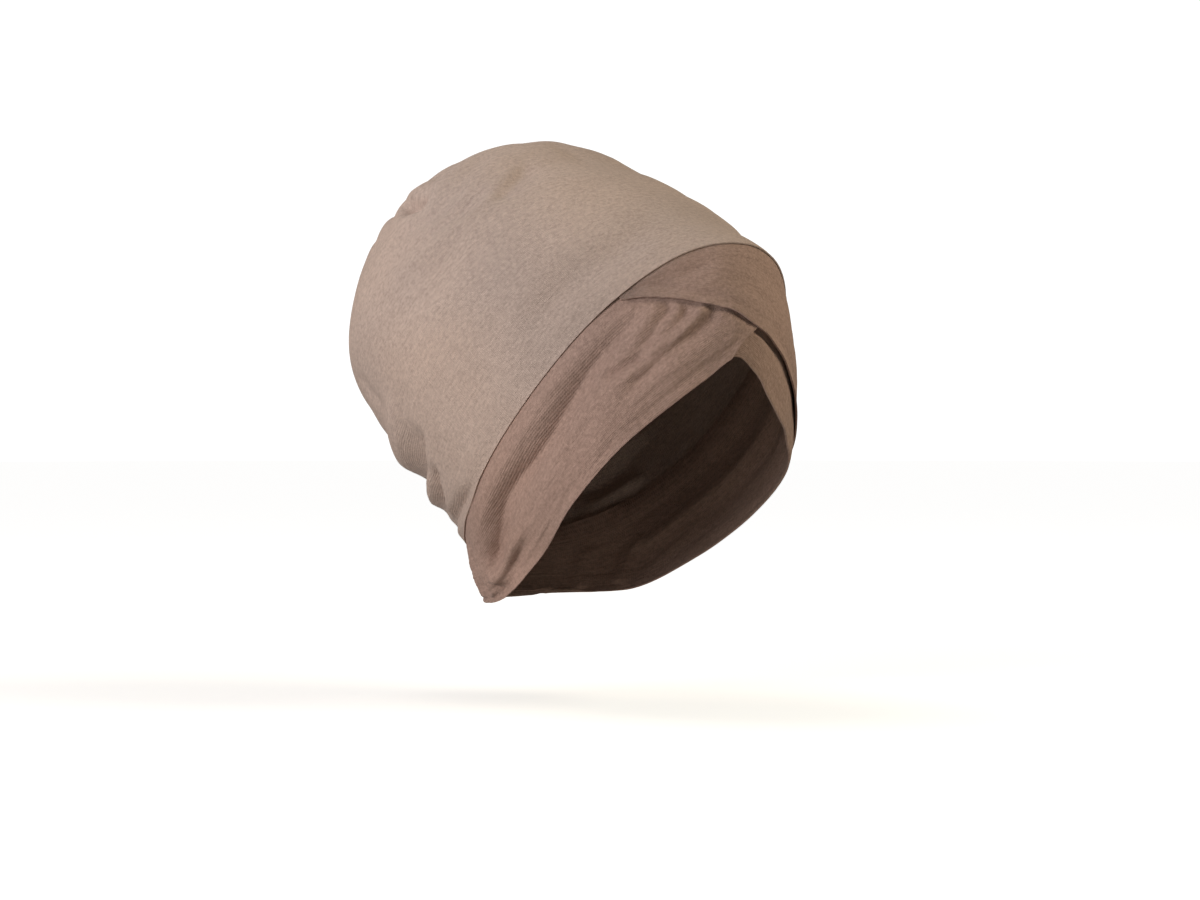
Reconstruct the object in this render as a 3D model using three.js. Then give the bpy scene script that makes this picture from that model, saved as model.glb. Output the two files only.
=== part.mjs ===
// Hijab underscarf cap in its worn form, in millimetres.
// The origin is at the middle of the head at brow height: +X is the wearer's left, +Y the back and +Z up.
// The cap is laid out round its own axis, which leans back. A place on it is a turn round that axis, in
// degrees from the forehead towards the wearer's right ear, and a reach: 0 on the seam ring, +1 on the
// edge of the face opening, -1 on the gathered end of the crown.

import * as THREE from "three";

// Driving sizes
const axisTilt = 43.9; // degrees that the cap's axis leans back from upright
const ringBack = 5; // middle of the seam ring, behind the origin
const ringDrop = 8; // middle of the seam ring, below the origin
const ringHalfWidth = 88; // seam ring, ear to ear
const ringHalfLength = 127; // seam ring, forehead to nape
const ringWave = 10; // how far the seam ring dips over the ears and lifts at the nape
const crownDepth = 192; // seam ring to gathered end, along the axis
const crownHalfWidth = 105; // crown at its fullest, ear to ear
const crownHalfLength = 122; // crown at its fullest, forehead to nape
const crownSag = 46; // how far the gathered end sinks towards the nape
const gatherAside = 8; // and how far it lies to the wearer's right
const gatherRadius = 7; // ring of pleats at the gathered end
const gatherDimple = 5; // how deep its middle is drawn in
const pleatDepth = 1.6; // pleats that run into the gathered end
const faceHalfWidth = 72; // face opening, temple to temple
const faceHalfLength = 145; // face opening, forehead to nape
const bandDrop = 75; // seam ring to face opening, along the axis
const bandPuff = 7; // how far the bands swell between their edges
const tuck = 9; // width of the bands' margins under the crown's edge
const clothWall = 1.2; // wall of every piece
const layerGap = 0.4; // clearance from one layer to the next
const foldDepth = 5; // deepest fold
const foldWidth = 22; // widest fold, from its line to its foot

// Colours of the jersey, piece by piece
const clothRoughness = 0.9;
const crownColour = "#a8927f";
const overColour = "#8a7362";
const underColour = "#927a6d";
const innerColour = "#8a6f5f";

// Counts, and how finely the cloth is divided
const pleatCount = 12; // pleats round the gathered end
const turnSteps = 60; // columns round the cap
const crownRows = 24; // rows from the bands' margins to the gathered end
const bandRows = 6; // rows from the seam ring to the face opening
const foldSteps = 8; // straight lengths along a fold

// Shares and angles
const tuckTurn = 48; // degrees from the forehead to each crossed band's end
const crossMargin = 12; // degrees in which the lower layers sink to pass under the crossing
const waveFade = 0.35; // the seam ring's wave has died out this far along the crown
const asideStart = 0.5; // the crown leans to the gathered end's side from here
const pleatStart = 0.72; // the pleats begin here along the crown
const pleatFull = 0.93; // and are at their full depth here
const puffOut = 0.8; // the bands swell outwards from the axis by this share
const puffDown = 0.6; // and along it towards the face by this one
const normalTurn = 1.5; // degrees either side of a place that give its slope round the cap
const normalReach = 0.03; // reach either side of it that gives its slope along the cap

// A table is a list of rows, each read by the names of its columns.
function table(columns, rows) {
  return rows.map((row) => Object.fromEntries(columns.map((name, i) => [name, row[i]])));
}

// Cross sections of the crown, square to the axis. Shares: along of the way from the seam ring to the
// gathered end, depth of crownDepth, width of crownHalfWidth, length of crownHalfLength, sag of crownSag.
// A boxiness of 2 is an ellipse, and more is squarer.
const crownSections = table(
  ["along", "depth", "width", "length", "sag", "boxiness"],
  [
    [0.0, 0.0, ringHalfWidth / crownHalfWidth, ringHalfLength / crownHalfLength, 0.24, 2.05],
    [0.12, 0.125, 0.925, 0.98, 0.28, 2.1],
    [0.25, 0.26, 0.98, 0.94, 0.35, 2.15],
    [0.38, 0.437, 1.0, 0.88, 0.465, 2.2],
    [0.5, 0.583, 0.97, 0.81, 0.575, 2.25],
    [0.61, 0.703, 0.865, 0.715, 0.5, 2.2],
    [0.71, 0.786, 0.72, 0.605, 0.48, 2.1],
    [0.8, 0.853, 0.53, 0.445, 0.57, 2.0],
    [0.88, 0.912, 0.36, 0.3, 0.7, 2.0],
    [0.94, 0.963, 0.23, 0.19, 0.85, 2.0],
    [1.0, 1.0, gatherRadius / crownHalfWidth, gatherRadius / crownHalfLength, 1.0, 2.0],
  ],
);

// Rise of the seam ring out of its plane, as a share of ringWave.
const ringRises = table(
  ["turn", "rise"],
  [
    [-135, -0.6],
    [-90, -0.9],
    [-40, -0.35],
    [0, 0.05],
    [24, 0.1],
    [50, -0.25],
    [90, -0.9],
    [135, -0.6],
    [160, 0.4],
    [180, 1.0],
    [200, 0.4],
  ],
);

// Edge of the face opening. Shares: across of faceHalfWidth, forward of faceHalfLength, drop of bandDrop
// before the seam ring, puff of bandPuff.
const openingStations = table(
  ["turn", "across", "forward", "drop", "puff"],
  [
    [-160, -0.43, -0.99, 0.3, 0.55],
    [-145, -0.62, -0.9, 0.47, 0.6],
    [-132, -0.74, -0.785, 0.64, 0.8],
    [-110, -0.9, -0.475, 0.84, 0.8],
    [-86, -0.97, -0.145, 0.96, 0.8],
    [-63, -0.87, 0.13, 1.0, 0.8],
    [-47, -0.66, 0.275, 0.96, 0.7],
    [-30, -0.4, 0.38, 0.95, 0.6],
    [-15, -0.19, 0.46, 0.9, 0.6],
    [0, 0.0, 0.53, 0.81, 0.85],
    [14, 0.24, 0.57, 0.73, 0.95],
    [28, 0.47, 0.475, 0.775, 1.0],
    [44, 0.68, 0.37, 0.815, 1.0],
    [65, 0.93, 0.145, 0.83, 0.95],
    [86, 1.0, -0.15, 0.83, 0.9],
    [112, 0.81, -0.505, 0.76, 0.8],
    [132, 0.71, -0.8, 0.64, 0.8],
    [145, 0.62, -0.91, 0.48, 0.6],
    [160, 0.43, -0.99, 0.31, 0.55],
    [180, 0.0, -1.03, 0.24, 0.55],
  ],
);

// Free edges of the bands, as a reach. The over band ends at its tuck on the wearer's right, the under
// band at its own on the left, and the inner band runs round the whole opening.
const overEdge = table(
  ["turn", "reach"],
  [
    [-180, 1.0],
    [-165, 0.97],
    [-150, 0.93],
    [-120, 0.88],
    [-90, 0.84],
    [-60, 0.77],
    [-40, 0.71],
    [-25, 0.66],
    [-12, 0.65],
    [1, 0.66],
    [10, 0.63],
    [17, 0.55],
    [25, 0.41],
    [33, 0.27],
    [42, 0.12],
    [48, 0.03],
  ],
);
const underEdge = table(
  ["turn", "reach"],
  [
    [-48, 0.03],
    [-42, 0.13],
    [-33, 0.26],
    [-25, 0.37],
    [-17, 0.48],
    [-8, 0.57],
    [1, 0.67],
    [8, 0.81],
    [17, 1.0],
    [30, 1.0],
    [180, 1.0],
  ],
);
const innerEdge = table(
  ["turn", "reach"],
  [
    [-150, 0.96],
    [-120, 1.0],
    [-60, 1.0],
    [0, 1.0],
    [14, 1.0],
    [28, 0.93],
    [90, 0.93],
    [150, 0.9],
    [180, 0.88],
  ],
);
// Folds, each along a line from one place to another. Shares: depth of foldDepth, where a negative one
// stands out as a ridge, and width of foldWidth.
const folds = table(
  ["fromTurn", "fromReach", "toTurn", "toReach", "depth", "width"],
  [
    // Long valley of the under band beside its puffed strip, and the same on the over band's side
    [46, 0.3, 118, 0.42, 0.85, 0.5],
    [-70, 0.32, -118, 0.42, 0.7, 0.5],
    // Drag lines from the top of the crown down to its back
    [46, -0.48, 98, -0.53, 0.4, 0.8],
    [38, -0.33, 96, -0.47, 0.35, 0.8],
    [-40, -0.5, -98, -0.56, 0.4, 0.9],
    [-30, -0.36, -88, -0.44, 0.3, 0.8],
    [30, -0.56, 47, -0.45, 0.35, 0.5],
    // Soft trough of the crown along the seam
    [16, -0.16, 66, -0.08, 0.25, 0.7],
    // Puckers over the nape, pockets and the rolls between them
    [118, -0.34, 150, -0.31, 0.8, 0.55],
    [121, -0.27, 162, -0.24, -0.9, 0.6],
    [124, -0.18, 160, -0.16, 0.8, 0.5],
    [128, -0.1, 165, -0.09, -0.6, 0.5],
    [-118, -0.32, -155, -0.3, 0.7, 0.55],
    [-122, -0.23, -165, -0.21, -0.8, 0.6],
    [-126, -0.14, -160, -0.12, 0.6, 0.5],
    [170, -0.36, 192, -0.35, 0.6, 0.6],
    // Nape of the bands
    [124, 0.3, 133, 0.85, 0.5, 0.45],
    [146, 0.15, 150, 0.9, 0.5, 0.45],
    [-138, 0.2, -142, 0.9, 0.5, 0.45],
    [170, 0.2, 172, 0.9, 0.4, 0.45],
  ],
);

const radians = THREE.MathUtils.degToRad;
const mix = THREE.MathUtils.lerp;
const tuckReach = -tuck / crownDepth;
const layerStep = clothWall + layerGap;

// The value of a column where the key column has the value given, on a smooth curve through the rows.
// With a period, the rows repeat.
function valueAt(rows, key, column, at, period = 0) {
  const count = rows.length;
  const first = rows[0][key];
  const place = period ? first + THREE.MathUtils.euclideanModulo(at - first, period) : at;
  const knot = (i) => {
    const lap = period ? Math.floor(i / count) : 0;
    const row = rows[period ? i - lap * count : THREE.MathUtils.clamp(i, 0, count - 1)];
    return [row[key] + lap * period, row[column]];
  };
  let i = 0;
  const last = period ? count - 1 : count - 2;
  while (i < last && knot(i + 1)[0] <= place) i += 1;
  const slope = (a, b) => (b[0] === a[0] ? 0 : (b[1] - a[1]) / (b[0] - a[0]));
  const tangent = (j) => {
    const [before, here, after] = [knot(j - 1), knot(j), knot(j + 1)];
    const ahead = after[0] - here[0];
    const behind = here[0] - before[0];
    if (ahead === 0) return slope(before, here);
    if (behind === 0) return slope(here, after);
    return (slope(before, here) * ahead + slope(here, after) * behind) / (ahead + behind);
  };
  const [x0, y0] = knot(i);
  const [x1, y1] = knot(i + 1);
  const span = x1 - x0;
  const t = THREE.MathUtils.clamp((place - x0) / span, 0, 1);
  const rise = (2 * t - 3) * t * t + 1;
  const leave = ((t - 2) * t + 1) * t * span * tangent(i);
  const arrive = (t - 1) * t * t * span * tangent(i + 1);
  return rise * y0 + leave + (1 - rise) * y1 + arrive;
}

// A point from its measures round the axis: across to the wearer's right, forward and up along the seam
// ring's plane, and rise along the axis.
function capPoint(across, forward, rise) {
  const lean = radians(axisTilt);
  const y = ringBack - forward * Math.cos(lean) + rise * Math.sin(lean);
  const z = -ringDrop + forward * Math.sin(lean) + rise * Math.cos(lean);
  return new THREE.Vector3(-across, y, z);
}

function signedPower(value, power) {
  return Math.sign(value) * Math.abs(value) ** power;
}

// The crown's outer face before folds, at a share of the way from the seam ring to the gathered end.
function crownPoint(turn, along) {
  const at = (column) => valueAt(crownSections, "along", column, along);
  const power = 2 / at("boxiness");
  const across = crownHalfWidth * at("width") * signedPower(Math.sin(radians(turn)), power);
  const reachForward = crownHalfLength * at("length") * signedPower(Math.cos(radians(turn)), power);
  const wave = ringWave * valueAt(ringRises, "turn", "rise", turn, 360);
  const waveLeft = 1 - THREE.MathUtils.smoothstep(along, 0, waveFade);
  const forward = reachForward - crownSag * at("sag");
  const aside = gatherAside * THREE.MathUtils.smoothstep(along, asideStart, 1);
  return capPoint(across + aside, forward, crownDepth * at("depth") + wave * waveLeft);
}

// The bands' outer face before folds, at a share of the way from the seam ring to the face opening.
function bandPoint(turn, down) {
  const at = (column) => valueAt(openingStations, "turn", column, turn, 360);
  const seam = crownPoint(turn, 0);
  const edge = capPoint(
    faceHalfWidth * at("across"),
    faceHalfLength * at("forward"),
    -bandDrop * at("drop"),
  );
  const middle = capPoint(0, 0, 0);
  const axis = capPoint(0, 0, 1).sub(middle);
  const point = seam.lerp(edge, down);
  const outward = point.clone().sub(middle).projectOnPlane(axis).normalize();
  const swell = bandPuff * at("puff") * 4 * down * (1 - down);
  return point.addScaledVector(outward, puffOut * swell).addScaledVector(axis, -puffDown * swell);
}

function basePoint(turn, reach) {
  return reach < 0 ? crownPoint(turn, -reach) : bandPoint(turn, reach);
}

function baseNormal(turn, reach) {
  const low = Math.max(reach - normalReach, -1);
  const high = Math.min(reach + normalReach, 1);
  const round = basePoint(turn + normalTurn, reach).sub(basePoint(turn - normalTurn, reach));
  const down = basePoint(turn, high).sub(basePoint(turn, low));
  return round.cross(down).normalize();
}

const foldLines = folds.map((fold) => {
  const points = [];
  for (let i = 0; i <= foldSteps; i += 1) {
    const t = i / foldSteps;
    points.push(basePoint(mix(fold.fromTurn, fold.toTurn, t), mix(fold.fromReach, fold.toReach, t)));
  }
  return { points, depth: foldDepth * fold.depth, width: foldWidth * fold.width };
});

// How far the cloth lies below its smooth form at a point, with all the folds near it.
function foldSink(point) {
  let sink = 0;
  for (const { points, depth, width } of foldLines) {
    let nearest = Infinity;
    for (let i = 0; i < foldSteps; i += 1) {
      const length = new THREE.Line3(points[i], points[i + 1]);
      const foot = length.closestPointToPoint(point, true, new THREE.Vector3());
      nearest = Math.min(nearest, foot.distanceTo(point));
    }
    sink += depth * Math.exp(-((nearest / width) ** 2));
  }
  return sink;
}

// Pleats that run into the gathered end.
function pleatLift(turn, reach) {
  const share = THREE.MathUtils.smoothstep(-reach, pleatStart, pleatFull);
  return pleatDepth * share * Math.cos(radians(pleatCount * turn));
}

// A point of the cloth, a given depth below the outermost face.
function clothPoint(turn, reach, below) {
  const point = basePoint(turn, reach);
  const lift = pleatLift(turn, reach) - foldSink(point) - below;
  return point.addScaledVector(baseNormal(turn, reach), lift);
}

// A closed wall of cloth over columns of turns and rows of reaches, with its rims. levelAt says how many
// layers lie above it. Where two rows of a column share a place they share a point, so that a column may
// stop short of its neighbours. pole closes the first row to a point.
function clothWallGeometry(turns, reachesAt, levelAt, closed, pole) {
  const positions = [];
  const index = [];
  const add = (point) => positions.push(point.x, point.y, point.z) / 3 - 1;
  const side = (extra) =>
    turns.map((turn) => {
      const reaches = reachesAt(turn);
      const column = [];
      reaches.forEach((reach, row) => {
        const same = row > 0 && reach === reaches[row - 1];
        const below = levelAt(turn, reach) * layerStep + extra;
        column.push(same ? column[row - 1] : add(clothPoint(turn, reach, below)));
      });
      return column;
    });
  const triangle = (a, b, c) => {
    if (a !== b && b !== c && c !== a) index.push(a, b, c);
  };
  const quad = (a, b, c, d) => {
    triangle(a, b, d);
    triangle(b, c, d);
  };
  const outer = side(0);
  const inner = side(clothWall);
  const last = outer[0].length - 1;
  const spans = closed ? turns.length : turns.length - 1;
  for (let i = 0; i < spans; i += 1) {
    const next = (i + 1) % turns.length;
    for (let row = 0; row < last; row += 1) {
      quad(outer[i][row], outer[next][row], outer[next][row + 1], outer[i][row + 1]);
      quad(inner[i][row], inner[i][row + 1], inner[next][row + 1], inner[next][row]);
    }
    quad(outer[i][last], outer[next][last], inner[next][last], inner[i][last]);
    if (!pole) quad(outer[next][0], outer[i][0], inner[i][0], inner[next][0]);
  }
  if (!closed) {
    const end = turns.length - 1;
    for (let row = 0; row < last; row += 1) {
      quad(outer[0][row], outer[0][row + 1], inner[0][row + 1], inner[0][row]);
      quad(outer[end][row + 1], outer[end][row], inner[end][row], inner[end][row + 1]);
    }
  }
  if (pole) {
    const middleOf = (columns) => {
      const middle = new THREE.Vector3();
      columns.forEach((column) => middle.add(new THREE.Vector3().fromArray(positions, 3 * column[0])));
      return middle.divideScalar(columns.length);
    };
    const inward = capPoint(0, 0, -gatherDimple).sub(capPoint(0, 0, 0));
    const outerPole = add(middleOf(outer).add(inward));
    const innerPole = add(middleOf(inner).add(inward));
    for (let i = 0; i < spans; i += 1) {
      const next = (i + 1) % turns.length;
      triangle(outer[next][0], outer[i][0], outerPole);
      triangle(inner[i][0], inner[next][0], innerPole);
    }
  }
  const geometry = new THREE.BufferGeometry();
  geometry.setAttribute("position", new THREE.Float32BufferAttribute(positions, 3));
  geometry.setIndex(index);
  geometry.computeVertexNormals();
  return geometry;
}

// Evenly spaced turns from the nape round to the one given, in the columns that every piece shares.
function turnsUpTo(last) {
  const step = 360 / turnSteps;
  const count = Math.round((last + 180) / step);
  return Array.from({ length: count + 1 }, (_, i) => i * step - 180);
}

// Rows of a band from its tucked margin to its free edge. All bands share the same rows, so that one lies
// evenly on the next.
function bandReaches(edgeReach) {
  const reaches = [tuckReach];
  for (let row = 0; row <= bandRows; row += 1) reaches.push(Math.min(row / bandRows, edgeReach));
  return reaches;
}

function crownReaches() {
  const reaches = [];
  for (let row = crownRows; row >= 0; row -= 1) reaches.push(mix(tuckReach, -1, row / crownRows));
  return [...reaches, 0];
}

// 1 under the crossing of the bands and 0 well away from it, on the sides that are asked for.
function underCrossing(turn, bothSides) {
  const away = bothSides ? Math.abs(turn) : turn;
  return 1 - THREE.MathUtils.smoothstep(away, tuckTurn, tuckTurn + crossMargin);
}

function cloth(colour) {
  return new THREE.MeshStandardMaterial({ color: colour, roughness: clothRoughness, metalness: 0 });
}

function piece(name, geometry, material) {
  const mesh = new THREE.Mesh(geometry, material);
  mesh.name = name;
  return mesh;
}

function makeCrown() {
  return clothWallGeometry(turnsUpTo(180 - 360 / turnSteps), crownReaches, () => 0, true, true);
}

// A crossed band, from the plain join at the nape to its tuck under the crown's edge.
function makeCrossedBand(edge, side, levelAt) {
  const joinTurn = THREE.MathUtils.radToDeg(layerGap / 2 / ringHalfLength);
  const turns = turnsUpTo(tuckTurn);
  turns[0] += joinTurn;
  const placed = side < 0 ? turns : turns.map((turn) => -turn).reverse();
  const reachesAt = (turn) => bandReaches(valueAt(edge, "turn", "reach", turn));
  return clothWallGeometry(placed, reachesAt, levelAt, false, false);
}

function makeInnerBand() {
  const turns = turnsUpTo(180 - 360 / turnSteps);
  const reachesAt = (turn) => bandReaches(valueAt(innerEdge, "turn", "reach", turn, 360));
  return clothWallGeometry(turns, reachesAt, (turn) => 2 + underCrossing(turn, true), true, false);
}

const overLevel = () => 1;
const underLevel = (turn) => 1 + underCrossing(turn, false);

const cap = new THREE.Group();
cap.add(piece("crown", makeCrown(), cloth(crownColour)));
cap.add(piece("over_band", makeCrossedBand(overEdge, -1, overLevel), cloth(overColour)));
cap.add(piece("under_band", makeCrossedBand(underEdge, 1, underLevel), cloth(underColour)));
cap.add(piece("inner_band", makeInnerBand(), cloth(innerColour)));

export default cap;
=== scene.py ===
"""Looks of a hijab underscarf cap in its worn form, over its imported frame.

Metres, with +X to the wearer's left, +Y to the back of the head and +Z up. The cap is laid out round
its own leaning axis. A place on it is a turn, in degrees from the forehead towards the wearer's right
ear, and a reach, which is 0 on the seam, +1 on the edge of the face opening and -1 on the gathered end.
"""

import logging
import math
from dataclasses import dataclass, field
from enum import Enum
from typing import ClassVar

import bmesh
import bpy
import numpy as np
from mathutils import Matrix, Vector, noise


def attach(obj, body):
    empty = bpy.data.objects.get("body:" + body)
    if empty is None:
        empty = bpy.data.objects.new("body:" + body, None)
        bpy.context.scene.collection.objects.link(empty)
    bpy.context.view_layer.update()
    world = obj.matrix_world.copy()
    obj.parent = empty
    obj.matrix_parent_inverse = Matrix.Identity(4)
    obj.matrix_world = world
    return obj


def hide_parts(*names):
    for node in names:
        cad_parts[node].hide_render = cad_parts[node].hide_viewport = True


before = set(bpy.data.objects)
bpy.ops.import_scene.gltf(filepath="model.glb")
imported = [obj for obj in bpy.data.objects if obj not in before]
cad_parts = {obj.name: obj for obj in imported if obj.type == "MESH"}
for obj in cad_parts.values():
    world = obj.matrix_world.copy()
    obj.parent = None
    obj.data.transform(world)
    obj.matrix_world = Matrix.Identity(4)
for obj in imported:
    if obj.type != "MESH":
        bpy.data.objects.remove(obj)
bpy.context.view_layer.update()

log = logging.getLogger("cap")

MM = 0.001
TINY = 1e-9  # below this a length or a share counts as none
CHART = "cloth"  # the UV map of each piece, in metres of flat cloth
BLACK = (0.0, 0.0, 0.0, 1.0)
WHITE = (1.0, 1.0, 1.0, 1.0)
WEAR = "wear"  # the attribute of each piece that says how near its worn edge is

Array = np.ndarray
Triple = tuple[float, float, float]


class Layer(Enum):
    """The layers of cloth, from the outermost in."""

    CROWN = 0
    OVER = 1
    UNDER = 2
    INNER = 3


def smoothstep(value: Array, low: float, high: float) -> Array:
    """Rises smoothly from 0 at low to 1 at high."""
    share = np.clip((value - low) / (high - low), 0.0, 1.0)
    return share * share * (3.0 - 2.0 * share)


def unit(vectors: Array) -> Array:
    """The vectors, each one long."""
    return vectors / np.maximum(np.linalg.norm(vectors, axis=-1, keepdims=True), TINY)


def line_of(far: Array, height: float, width: float) -> Array:
    """A rounded line in the cloth.

    Args:
        far: Metres from its middle.
        height: How far it stands up.
        width: How wide it is.

    Returns:
        The lift at each distance.
    """
    return height * np.exp(-((far / width) ** 2))


def waves(angle: Array, parts: tuple[Triple, ...]) -> Array:
    """Unevenness round the cap.

    Args:
        angle: Turns round the axis, in radians.
        parts: The size of each wave, how many go round and where it starts.

    Returns:
        Their sum at each turn.
    """
    return sum(size * np.sin(count * angle + start) for size, count, start in parts)


def in_scene(name: str, data: bpy.types.ID) -> bpy.types.Object:
    """A new object of the scene with the name and data given."""
    made = bpy.data.objects.new(name, data)
    bpy.context.scene.collection.objects.link(made)
    return made


@dataclass(frozen=True)
class Curve:
    """A smooth curve through knots, which repeats if it has a period."""

    knots: tuple[tuple[float, float], ...]
    period: float = 0.0

    def at(self, where: Array) -> Array:
        """Reads the curve.

        Args:
            where: Places along it.

        Returns:
            The curve's value at each of them.
        """
        x, y = np.array(self.knots, float).T
        where = np.asarray(where, float)
        if self.period:
            where = x[0] + np.mod(where - x[0], self.period)
            x = np.concatenate([x[-2:] - self.period, x, x[:2] + self.period])
            y = np.concatenate([y[-2:], y, y[:2]])
        gap = np.diff(x)
        slope = np.diff(y) / gap
        tangent = np.empty_like(y)
        tangent[0], tangent[-1] = slope[0], slope[-1]
        tangent[1:-1] = (slope[:-1] * gap[1:] + slope[1:] * gap[:-1]) / (gap[1:] + gap[:-1])
        i = np.clip(np.searchsorted(x, where, side="right") - 1, 0, len(gap) - 1)
        t = np.clip((where - x[i]) / gap[i], 0.0, 1.0)
        rise = (2 * t - 3) * t * t + 1
        leave = ((t - 2) * t + 1) * t * gap[i] * tangent[i]
        arrive = (t - 1) * t * t * gap[i] * tangent[i + 1]
        return rise * y[i] + leave + (1 - rise) * y[i + 1] + arrive


def curves(names: str, rows: tuple[tuple[float, ...], ...], period: float = 0.0) -> dict[str, Curve]:
    """Makes a curve of each column of a table over its first column.

    Args:
        names: The columns' names after the first.
        rows: The table's rows.
        period: How far along the first column the rows repeat, or 0.

    Returns:
        The curves by name.
    """
    return {
        name: Curve(tuple((row[0], row[i + 1]) for row in rows), period)
        for i, name in enumerate(names.split())
    }


@dataclass(frozen=True)
class CapForm:
    """The cap's smooth outer form, before its folds.

    The section columns are shares of crown_depth, crown_half_width, crown_half_length and crown_sag,
    and the opening's are shares of face_half_width, face_half_length, band_drop and band_puff.

    Attributes:
        wave_fade: Share of the way to the gathered end by which the seam's wave has died out.
        aside_start: And the share from which the crown leans to the gathered end's side.
        puff_out: Share of the bands' swell that goes outwards.
        puff_down: And the share that goes towards the face.
        slope_turn: Degrees either side of a place that give its slope round the cap.
        slope_reach: Reach either side of it that gives its slope along the cap.
    """

    axis_tilt: float = 43.9
    ring_back: float = 5 * MM
    ring_drop: float = 8 * MM
    ring_half_width: float = 88 * MM
    ring_half_length: float = 127 * MM
    ring_wave: float = 10 * MM
    crown_depth: float = 192 * MM
    crown_half_width: float = 105 * MM
    crown_half_length: float = 122 * MM
    crown_sag: float = 46 * MM
    gather_aside: float = 8 * MM
    gather_radius: float = 7 * MM
    face_half_width: float = 72 * MM
    face_half_length: float = 145 * MM
    band_drop: float = 75 * MM
    band_puff: float = 7 * MM
    wave_fade: float = 0.35
    aside_start: float = 0.5
    puff_out: float = 0.8
    puff_down: float = 0.6
    slope_turn: float = 1.2
    slope_reach: float = 0.02
    sections: dict[str, Curve] = field(
        default_factory=lambda: curves(
            "depth width length sag boxiness",
            (
                (0.0, 0.0, 88 / 105, 127 / 122, 0.24, 2.05),
                (0.12, 0.125, 0.925, 0.98, 0.28, 2.1),
                (0.25, 0.26, 0.98, 0.94, 0.35, 2.15),
                (0.38, 0.437, 1.0, 0.88, 0.465, 2.2),
                (0.5, 0.583, 0.97, 0.81, 0.575, 2.25),
                (0.61, 0.703, 0.865, 0.715, 0.5, 2.2),
                (0.71, 0.786, 0.72, 0.605, 0.48, 2.1),
                (0.8, 0.853, 0.53, 0.445, 0.57, 2.0),
                (0.88, 0.912, 0.36, 0.3, 0.7, 2.0),
                (0.94, 0.963, 0.23, 0.19, 0.85, 2.0),
                (1.0, 1.0, 7 / 105, 7 / 122, 1.0, 2.0),
            ),
        )
    )
    ring_rise: Curve = Curve(
        (
            (-135, -0.6), (-90, -0.9), (-40, -0.35), (0, 0.05), (24, 0.1), (50, -0.25), (90, -0.9),
            (135, -0.6), (160, 0.4), (180, 1.0), (200, 0.4),
        ),
        360,
    )
    opening: dict[str, Curve] = field(
        default_factory=lambda: curves(
            "across forward drop puff",
            (
                (-160, -0.43, -0.99, 0.3, 0.55),
                (-145, -0.62, -0.9, 0.47, 0.6),
                (-132, -0.74, -0.785, 0.64, 0.8),
                (-110, -0.9, -0.475, 0.84, 0.8),
                (-86, -0.97, -0.145, 0.96, 0.8),
                (-63, -0.87, 0.13, 1.0, 0.8),
                (-47, -0.66, 0.275, 0.96, 0.7),
                (-30, -0.4, 0.38, 0.95, 0.6),
                (-15, -0.19, 0.46, 0.9, 0.6),
                (0, 0.0, 0.53, 0.81, 0.85),
                (14, 0.24, 0.57, 0.73, 0.95),
                (28, 0.47, 0.475, 0.775, 1.0),
                (44, 0.68, 0.37, 0.815, 1.0),
                (65, 0.93, 0.145, 0.83, 0.95),
                (86, 1.0, -0.15, 0.83, 0.9),
                (112, 0.81, -0.505, 0.76, 0.8),
                (132, 0.71, -0.8, 0.64, 0.8),
                (145, 0.62, -0.91, 0.48, 0.6),
                (160, 0.43, -0.99, 0.31, 0.55),
                (180, 0.0, -1.03, 0.24, 0.55),
            ),
            360,
        )
    )

    def place(self, across: Array, forward: Array, rise: Array) -> Array:
        """Turns measures round the axis into points.

        Args:
            across: To the wearer's right.
            forward: Forward and up, along the seam's plane.
            rise: Along the axis.

        Returns:
            The points.
        """
        lean = math.radians(self.axis_tilt)
        y = self.ring_back - forward * math.cos(lean) + rise * math.sin(lean)
        z = -self.ring_drop + forward * math.sin(lean) + rise * math.cos(lean)
        return np.stack(np.broadcast_arrays(-across, y, z), axis=-1)

    def crown_point(self, turn: Array, along: Array) -> Array:
        """Points of the crown.

        Args:
            turn: Degrees round the axis.
            along: Shares of the way from the seam to the gathered end.

        Returns:
            The points.
        """
        angle = np.radians(turn)
        at = {name: curve.at(along) for name, curve in self.sections.items()}
        power = 2 / at["boxiness"]
        sine, cosine = np.sin(angle), np.cos(angle)
        across = self.crown_half_width * at["width"] * np.sign(sine) * np.abs(sine) ** power
        forward = self.crown_half_length * at["length"] * np.sign(cosine) * np.abs(cosine) ** power
        wave = self.ring_wave * self.ring_rise.at(turn) * (1 - smoothstep(along, 0, self.wave_fade))
        aside = self.gather_aside * smoothstep(along, self.aside_start, 1)
        return self.place(
            across + aside, forward - self.crown_sag * at["sag"], self.crown_depth * at["depth"] + wave
        )

    def band_point(self, turn: Array, down: Array) -> Array:
        """Points of the bands.

        Args:
            turn: Degrees round the axis.
            down: Shares of the way from the seam to the face opening.

        Returns:
            The points.
        """
        at = {name: curve.at(turn) for name, curve in self.opening.items()}
        seam = self.crown_point(turn, np.zeros_like(turn))
        edge = self.place(
            self.face_half_width * at["across"],
            self.face_half_length * at["forward"],
            -self.band_drop * at["drop"],
        )
        middle = self.place(0.0, 0.0, 0.0)
        axis = self.place(0.0, 0.0, 1.0) - middle
        point = seam + (edge - seam) * down[..., None]
        arm = point - middle
        outward = unit(arm - axis * (arm @ axis)[..., None])
        swell = (self.band_puff * at["puff"] * 4 * down * (1 - down))[..., None]
        return point + outward * self.puff_out * swell - axis * self.puff_down * swell

    def point(self, turn: Array, reach: Array) -> Array:
        """Points at the turns and reaches given."""
        crown = self.crown_point(turn, np.clip(-reach, 0, 1))
        band = self.band_point(turn, np.maximum(reach, 0))
        return np.where((reach < 0)[..., None], crown, band)

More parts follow.
